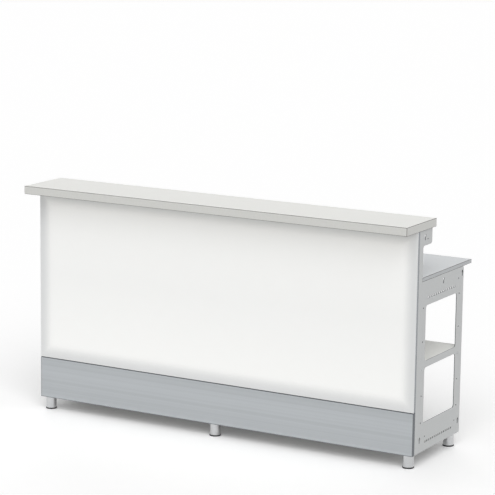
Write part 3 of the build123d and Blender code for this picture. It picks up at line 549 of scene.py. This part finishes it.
class COUNTER_OT_shelves(bpy.types.Operator):
    """Dresses the base shelves and the middle shelves in melamine"""
    bl_idname = "counter.shelves"
    bl_label = "Shelves"

    def execute(self, context):
        for level in ("base", "middle"):
            nodes = [f"{level}_shelf_{bay}" for bay in BAYS]
            dress(self.melamine(f"melamine_pressed_{level}", extent_of(nodes[0])), *nodes)
        return {"FINISHED"}

    def melamine(self, name, extent):
        """Melamine-faced board, pressed against a textured plate, with a plastic edge glued on: a duller
        pearl than laminate, and a faint glue line along each edge. Both are drawn coarser than real ones,
        which are too fine to show."""
        size = sizes()
        material, tree, shader = plain_finish(name, colours().shelf, roughness=0.51)
        glue = (edge_line(tree, extent, size.seam), colours().glue)
        show(tree, shader, grain(tree, size.pearl), drift=0.015, spread=0.07, depth=size.pearl_depth,
             over=[glue])
        return material


class COUNTER_OT_light_panel(bpy.types.Operator):
    """Lights the opal face and finishes its edge frame"""
    bl_idname = "counter.light_panel"
    bl_label = "Light panel"

    def execute(self, context):
        studio = context.scene.counter_studio
        dress(self.lit_opal("acrylic_cast_opal", extent_of("light_panel_face"), studio), "light_panel_face")
        # Satin grey, with the lines of the die along each bar in place of belt lines
        metal = brushed_metal("aluminium_extruded_anodised", colours().anodised, roughness=0.39,
                              lines=along_x(sizes().brush_width))
        dress(metal, "light_panel_frame", "led_profiles")
        return {"FINISHED"}

    def lit_opal(self, name, extent, studio):
        """Cast opal acrylic, polished by its mould: milky and glossy, evenly lit from behind, a little
        brighter towards the lamps at its top and bottom, and dimmer at the rim in front of its frame."""
        size = sizes()
        sockets = {"Emission Strength": studio.glow, "IOR": 1.49}
        material, tree, shader = plain_finish(name, colours().opal, roughness=0.23, sockets=sockets)
        show(tree, shader, grain(tree, size.haze), drift=0.006, spread=0.03, depth=size.haze_depth)
        x, _, z = edge_distances(tree, extent)
        nearest = add(tree, "ShaderNodeMath", {"operation": "MINIMUM"}, {0: x, 1: z})
        rim = add(tree, "ShaderNodeMapRange",
                  {"From Min": size.glow_rim / 2, "From Max": size.glow_rim + size.glow_fade,
                   "To Min": studio.glow_at_rim, "interpolation_type": "SMOOTHSTEP"},
                  {"Value": nearest.outputs[0]})
        lamps = add(tree, "ShaderNodeMapRange",
                    {"From Min": size.glow_rim, "From Max": extent.z / 2,
                     "To Min": 1.0, "To Max": studio.glow_at_middle}, {"Value": z})
        level = add(tree, "ShaderNodeMath", {"operation": "MULTIPLY"},
                    {0: rim.outputs[0], 1: lamps.outputs[0]})
        light = add(tree, "ShaderNodeMix",
                    {"data_type": "RGBA", FIRST: opaque(BLACK), SECOND: opaque(colours().glow)},
                    {FACTOR: level.outputs[0]})
        tree.links.new(light.outputs[MIXED], shader.inputs["Emission Color"])
        return material


class COUNTER_OT_kick_panel(bpy.types.Operator):
    """Dresses the kick panel in brushed aluminium laminate"""
    bl_idname = "counter.kick_panel"
    bl_label = "Kick panel"

    def execute(self, context):
        dress(self.edged_laminate("laminate_brushed_aluminium", extent_of("kick_panel")), "kick_panel")
        return {"FINISHED"}

    def edged_laminate(self, name, extent):
        """Aluminium foil, brushed along its length and pressed on board under lacquer, with plastic edging:
        long straight lines in a soft metal sheen, and a darker line round the face. Real lines are about
        0.1 mm wide, too fine to show, so they are drawn coarser."""
        size = sizes()
        material, tree, shader = plain_finish(name, colours().kick, roughness=0.43, metallic=0.7)
        x, _, z = edge_distances(tree, extent)
        nearest = add(tree, "ShaderNodeMath", {"operation": "MINIMUM"}, {0: x, 1: z})
        edge = add(tree, "ShaderNodeMath", {"operation": "LESS_THAN", 1: size.edging},
                   {0: nearest.outputs[0]})
        show(tree, shader, grain(tree, *along_x(size.foil_width)), drift=0.07, spread=0.09,
             depth=size.brush_depth, over=[(edge.outputs[0], colours().edging)])
        return material


class COUNTER_OT_frames(bpy.types.Operator):
    """Dresses the frames and the shelf brackets in powder coat"""
    bl_idname = "counter.frames"
    bl_label = "Frames"

    def execute(self, context):
        coat = colours().coat
        # The cut edges of the end frames get a dark grey that is partly oxide, partly painted shade
        ends = powder_coat("steel_laser_cut_powder_coated", coat, roughness=0.5, cut_node="right_frame")
        dress(ends, "left_frame", "right_frame")
        folded = powder_coat("steel_folded_powder_coated", coat, roughness=0.5)
        dress(folded, "middle_frame", "shelf_brackets")
        return {"FINISHED"}


class COUNTER_OT_rails(bpy.types.Operator):
    """Galvanises the rails and lays their packing strips"""
    bl_idname = "counter.rails"
    bl_label = "Rails"

    def execute(self, context):
        kinds = ("front_top_rail", "front_middle_rail", "worktop_front_rail", "worktop_rear_rail")
        zinc = self.galvanised("steel_tube_galvanised")
        dress(zinc, *[f"{kind}_{bay}" for kind in kinds for bay in BAYS])
        # Dull, with hardly a highlight
        rubber = plastic("rubber_moulded_black", colours().rubber, roughness=0.85)
        dress(rubber, "packing_strips", "lead_grommets")
        return {"FINISHED"}

    def galvanised(self, name):
        """Steel dipped in molten zinc: flat crystals, each with its own grey and its own dullness."""
        size = sizes()
        material, tree, shader = plain_finish(name, colours().zinc, roughness=0.43, metallic=0.9)
        place = add(tree, "ShaderNodeTexCoord")
        crystals = add(tree, "ShaderNodeTexVoronoi", {"Scale": 1 / size.spangle},
                       {"Vector": place.outputs["Object"]})
        tone = add(tree, "ShaderNodeSeparateColor", {}, {"Color": crystals.outputs["Color"]})
        show(tree, shader, tone.outputs["Red"], drift=0.1, spread=0.09, depth=size.spangle_depth)
        return material


class COUNTER_OT_linings(bpy.types.Operator):
    """Dresses the bay liners and the splashbacks"""
    bl_idname = "counter.linings"
    bl_label = "Linings"

    def execute(self, context):
        dress(self.foamed("pvc_foamed_white"), *[f"bay_liner_{bay}" for bay in BAYS])
        steel = brushed_metal("stainless_sheet_brushed", colours().stainless, roughness=0.34,
                              lines=along_x(sizes().brush_width))
        dress(steel, *[f"splashback_{bay}" for bay in BAYS])
        return {"FINISHED"}

    def foamed(self, name):
        """Foamed plastic sheet, cooled against rollers: chalky and matt, with shallow cells. Real cells are
        about 0.5 mm, too fine to show, so they are drawn coarser."""
        size = sizes()
        material, tree, shader = plain_finish(name, colours().foam, roughness=0.75)
        show(tree, shader, grain(tree, size.foam_cell), drift=0.015, spread=0.07, depth=size.foam_depth)
        return material


class COUNTER_OT_legs(bpy.types.Operator):
    """Finishes the leg tubes and makes the threaded levelling feet"""
    bl_idname = "counter.legs"
    bl_label = "Legs and feet"

    def execute(self, context):
        tube = brushed_metal("stainless_tube_brushed", colours().stainless, roughness=0.3,
                             lines=round_tube(sizes().ring_width))
        dress(tube, *[f"leg_tube_{foot}" for foot in FEET])
        # Nearly black, with a broad soft highlight
        nylon = plastic("nylon_moulded_black", colours().nylon, roughness=0.52)
        dress(nylon, "leg_bushes")
        for foot in FEET:
            self.threaded_foot(foot, nylon)
        return {"FINISHED"}

    def threaded_foot(self, foot, nylon):
        """One closed skin, from the underside of the base up to the end of the shank."""
        size = sizes()
        node = f"levelling_foot_{foot}"
        low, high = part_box(node)
        origin = Vector(((low.x + high.x) / 2, (low.y + high.y) / 2, low.z))
        rings = base_rings((high.x - low.x) / 2) + hexagon_rings()
        rings += thread_rings(size.base_height + size.hex_height, high.z - low.z)
        piece = skin(f"threaded_foot_{foot}", rings, origin, nylon)
        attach(piece, f"foot_{foot}")
        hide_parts(node)


class COUNTER_OT_fasteners(bpy.types.Operator):
    """Plates the screws, bolts and nuts with zinc"""
    bl_idname = "counter.fasteners"
    bl_label = "Fasteners"

    def execute(self, context):
        dress(self.plated("steel_zinc_plated"), "shelf_bolts", "rail_screws", "top_screws", "panel_screws",
              "box_screws", "leg_nuts")
        return {"FINISHED"}

    def plated(self, name):
        """Steel plated with zinc in a bath: bright metal, faintly blotched where the bath ran off."""
        size = sizes()
        material, tree, shader = plain_finish(name, colours().zinc, roughness=0.3, metallic=1.0)
        show(tree, shader, grain(tree, size.blotch), drift=0.06, spread=0.08, depth=size.blotch_depth)
        return material


class COUNTER_OT_lamps(bpy.types.Operator):
    """Finishes the lamp strips, their leads and the clips"""
    bl_idname = "counter.lamps"
    bl_label = "Lamps and leads"

    def execute(self, context):
        dress(self.lamp_strip("circuit_board_lacquered_white"), "led_strips")
        # Smooth, with a thin highlight along each lead
        sheath = plastic("pvc_extruded_black", colours().sheath, roughness=0.45)
        dress(sheath, *[f"led_leads_{bay}" for bay in BAYS])
        # Left in its own colour, a warm white with a soft highlight
        clips = plastic("nylon_moulded_white", colours().clip, roughness=0.4)
        dress(clips, "lead_clips")
        return {"FINISHED"}

    def lamp_strip(self, name):
        """A circuit board under white lacquer: satin white, with the yellow phosphor of the lamps on it.
        The lamps of the upper and of the lower board stand between the two boards."""
        size = sizes()
        low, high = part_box("led_strips")
        material, tree, shader = plain_finish(name, colours().board, roughness=0.45)
        place = add(tree, "ShaderNodeTexCoord")
        height = add(tree, "ShaderNodeSeparateXYZ", {}, {"Vector": place.outputs["Object"]})
        centred = add(tree, "ShaderNodeMath", {"operation": "SUBTRACT", 1: (low.z + high.z) / 2},
                      {0: height.outputs["Z"]})
        folded = add(tree, "ShaderNodeMath", {"operation": "ABSOLUTE"}, {0: centred.outputs[0]})
        reach = (high.z - low.z) / 2 - size.board
        lamps = add(tree, "ShaderNodeMath", {"operation": "LESS_THAN", 1: reach}, {0: folded.outputs[0]})
        show(tree, shader, grain(tree, size.blotch), drift=0.02, spread=0.05, depth=size.blotch_depth,
             over=[(lamps.outputs[0], colours().phosphor)])
        return material


class COUNTER_OT_power_box(bpy.types.Operator):
    """Finishes the power box, its driver, its inlet and its switch"""
    bl_idname = "counter.power_box"
    bl_label = "Power box"

    def execute(self, context):
        shades = colours()
        coat = powder_coat("steel_powder_coated_grey", shades.box, roughness=0.55)
        dress(coat, "power_box", "power_box_lid")
        # Satin grey, with the lines of the die along the case
        case = brushed_metal("aluminium_case_anodised", shades.anodised, roughness=0.4,
                             lines=along_x(sizes().brush_width))
        dress(case, "led_driver")
        # Matt, so that the glossy rocker stands out from it
        inlet = plastic("thermoplastic_moulded_black", shades.moulding, roughness=0.5)
        dress(inlet, "power_inlet")
        dress(self.nickelled("brass_nickel_plated"), "inlet_pins")
        # Polished by its mould: a small sharp highlight over a softer one
        rocker = plastic("abs_polished_black", shades.moulding, roughness=0.2, sockets={"Coat Weight": 0.3})
        dress(rocker, "rocker_switch")
        # Flat white, duller than the rocker under it
        self.print_marks(plastic("ink_printed_white", shades.mark, roughness=0.5))
        return {"FINISHED"}

    def nickelled(self, name):
        """Brass plated with nickel: warm pale metal with fine sliding marks along the pins, drawn coarser
        than real ones, which are too fine to show."""
        size = sizes()
        material, tree, shader = plain_finish(name, colours().brass, roughness=0.26, metallic=1.0)
        slides = grain(tree, size.slide, (1.0, size.slide_length / size.slide, 1.0))
        show(tree, shader, slides, drift=0.05, spread=0.08, depth=size.slide_depth)
        return material

    def print_marks(self, ink, steps=32):
        """The bar for on and the ring for off, printed on the upper and the lower half of the rocker."""
        size = sizes()
        tall, wide = size.mark_height / 2, size.mark_stroke / 2
        bar = [(-wide, -tall), (wide, -tall), (wide, tall), (-wide, tall)]
        circle = [(cos(tau * step / steps), sin(tau * step / steps)) for step in range(steps)]
        ring, hole = [[(radius * x, radius * y) for x, y in circle] for radius in (tall, tall - 2 * wide)]
        for name, outline, gap, half in (("on", bar, None, 1), ("off", ring, hole, -1)):
            piece = printed_mark(f"rocker_mark_{name}", outline, gap, rocker_face(half), ink)
            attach(piece, "rocker")


class COUNTER_OT_stage(bpy.types.Operator):
    """Lays a plain white floor, lights it and sets the camera"""
    bl_idname = "counter.stage"
    bl_label = "Studio"

    def execute(self, context):
        scene = context.scene
        studio = scene.counter_studio
        self.lay_floor(studio.floor_size)
        self.set_sky(scene, studio.sky)
        self.hang_lamp(scene, "studio_key", studio.key, studio.key_softness, studio.key_from)
        fill = self.hang_lamp(scene, "studio_fill", studio.fill, studio.fill_softness, studio.fill_from)
        # Kept out of reflections: from the front it would glare on the bar top and the worktop
        fill.visible_glossy = False
        self.set_camera(scene, studio)
        scene.view_settings.view_transform = "Standard"
        return {"FINISHED"}

    def seen_directly(self, tree):
        """One for the camera's own rays and for those that metal or glass passes on."""
        path = add(tree, "ShaderNodeLightPath").outputs
        seen = add(tree, "ShaderNodeMath", {"operation": "MAXIMUM"},
                   {0: path["Is Camera Ray"], 1: path["Is Glossy Ray"]})
        return add(tree, "ShaderNodeMath", {"operation": "MAXIMUM"},
                   {0: seen.outputs[0], 1: path["Is Transmission Ray"]}).outputs[0]

    def lay_floor(self, side):
        """Painted board: white where it is seen, greyer as a reflector under the counter."""
        shades = colours()
        sockets = {"Specular IOR Level": 0.0, "Emission Strength": 1.0}
        material, tree, shader = plain_finish("board_painted_white", shades.floor, roughness=1.0,
                                              sockets=sockets)
        looks = {"Base Color": (shades.floor_bounce, shades.floor),
                 "Emission Color": (BLACK, shades.floor_lift)}
        for socket, (unseen, seen) in looks.items():
            mix = add(tree, "ShaderNodeMix",
                      {"data_type": "RGBA", FIRST: opaque(unseen), SECOND: opaque(seen)},
                      {FACTOR: self.seen_directly(tree)})
            tree.links.new(mix.outputs[MIXED], shader.inputs[socket])
        form = bmesh.new()
        bmesh.ops.create_grid(form, x_segments=1, y_segments=1, size=side / 2)
        new_piece("studio_floor", form, material)

    def set_sky(self, scene, strength):
        """Even light from all round, white where it is seen."""
        world = bpy.data.worlds.new("studio_sky")
        world.use_nodes = True
        tree = world.node_tree
        level = add(tree, "ShaderNodeMapRange", {"To Min": strength, "To Max": 1.0},
                    {"Value": self.seen_directly(tree)})
        background = tree.nodes["Background"]
        background.inputs["Color"].default_value = opaque(WHITE)
        tree.links.new(level.outputs["Result"], background.inputs["Strength"])
        scene.world = world

    def hang_lamp(self, scene, name, strength, softness, towards):
        """A large soft lamp, far away in that direction."""
        light = bpy.data.lights.new(name, "SUN")
        light.energy = strength
        light.angle = softness
        lamp = bpy.data.objects.new(name, light)
        lamp.rotation_euler = Vector(towards).to_track_quat("Z", "Y").to_euler()
        scene.collection.objects.link(lamp)
        return lamp

    def set_camera(self, scene, studio):
        """A long lens on the counter's front and right-hand end, slightly from above."""
        data = bpy.data.cameras.new("studio_camera")
        data.lens = studio.lens
        data.clip_end = studio.reach
        camera = bpy.data.objects.new("studio_camera", data)
        turn = Matrix.Rotation(studio.azimuth, 4, "Z") @ Matrix.Rotation(pi / 2 - studio.elevation, 4, "X")
        camera.matrix_world = Matrix.Translation(studio.place) @ turn @ Matrix.Rotation(studio.roll, 4, "Z")
        scene.collection.objects.link(camera)
        scene.camera = camera


class COUNTER_PT_sidebar(bpy.types.Panel):
    """Lists the steps that dress the counter, and the values that they use"""
    bl_idname = "COUNTER_PT_sidebar"
    bl_label = "Counter"
    bl_space_type = "VIEW_3D"
    bl_region_type = "UI"
    bl_category = "Counter"

    def draw(self, context):
        for step in STEPS:
            self.layout.operator(step.bl_idname)
        for name, kind in GROUPS.items():
            for value in kind.__annotations__:
                self.layout.prop(getattr(context.scene, name), value)


STEPS = (
    COUNTER_OT_bar_top,
    COUNTER_OT_worktop,
    COUNTER_OT_shelves,
    COUNTER_OT_light_panel,
    COUNTER_OT_kick_panel,
    COUNTER_OT_frames,
    COUNTER_OT_rails,
    COUNTER_OT_linings,
    COUNTER_OT_legs,
    COUNTER_OT_fasteners,
    COUNTER_OT_lamps,
    COUNTER_OT_power_box,
    COUNTER_OT_stage,
)
GROUPS = {"counter_sizes": CounterSizes, "counter_colours": CounterColours, "counter_studio": CounterStudio}


def register():
    for kind in (*GROUPS.values(), *STEPS, COUNTER_PT_sidebar):
        bpy.utils.register_class(kind)
    for name, kind in GROUPS.items():
        setattr(bpy.types.Scene, name, PointerProperty(type=kind))


def unregister():
    for name in GROUPS:
        delattr(bpy.types.Scene, name)
    for kind in (COUNTER_PT_sidebar, *reversed(STEPS), *reversed(GROUPS.values())):
        bpy.utils.unregister_class(kind)


def main():
    register()
    bpy.ops.counter.bar_top()
    bpy.ops.counter.worktop()
    bpy.ops.counter.shelves()
    bpy.ops.counter.light_panel()
    bpy.ops.counter.kick_panel()
    bpy.ops.counter.frames()
    bpy.ops.counter.rails()
    bpy.ops.counter.linings()
    bpy.ops.counter.legs()
    bpy.ops.counter.fasteners()
    bpy.ops.counter.lamps()
    bpy.ops.counter.power_box()
    bpy.ops.counter.stage()


if __name__ == "__main__":
    main()
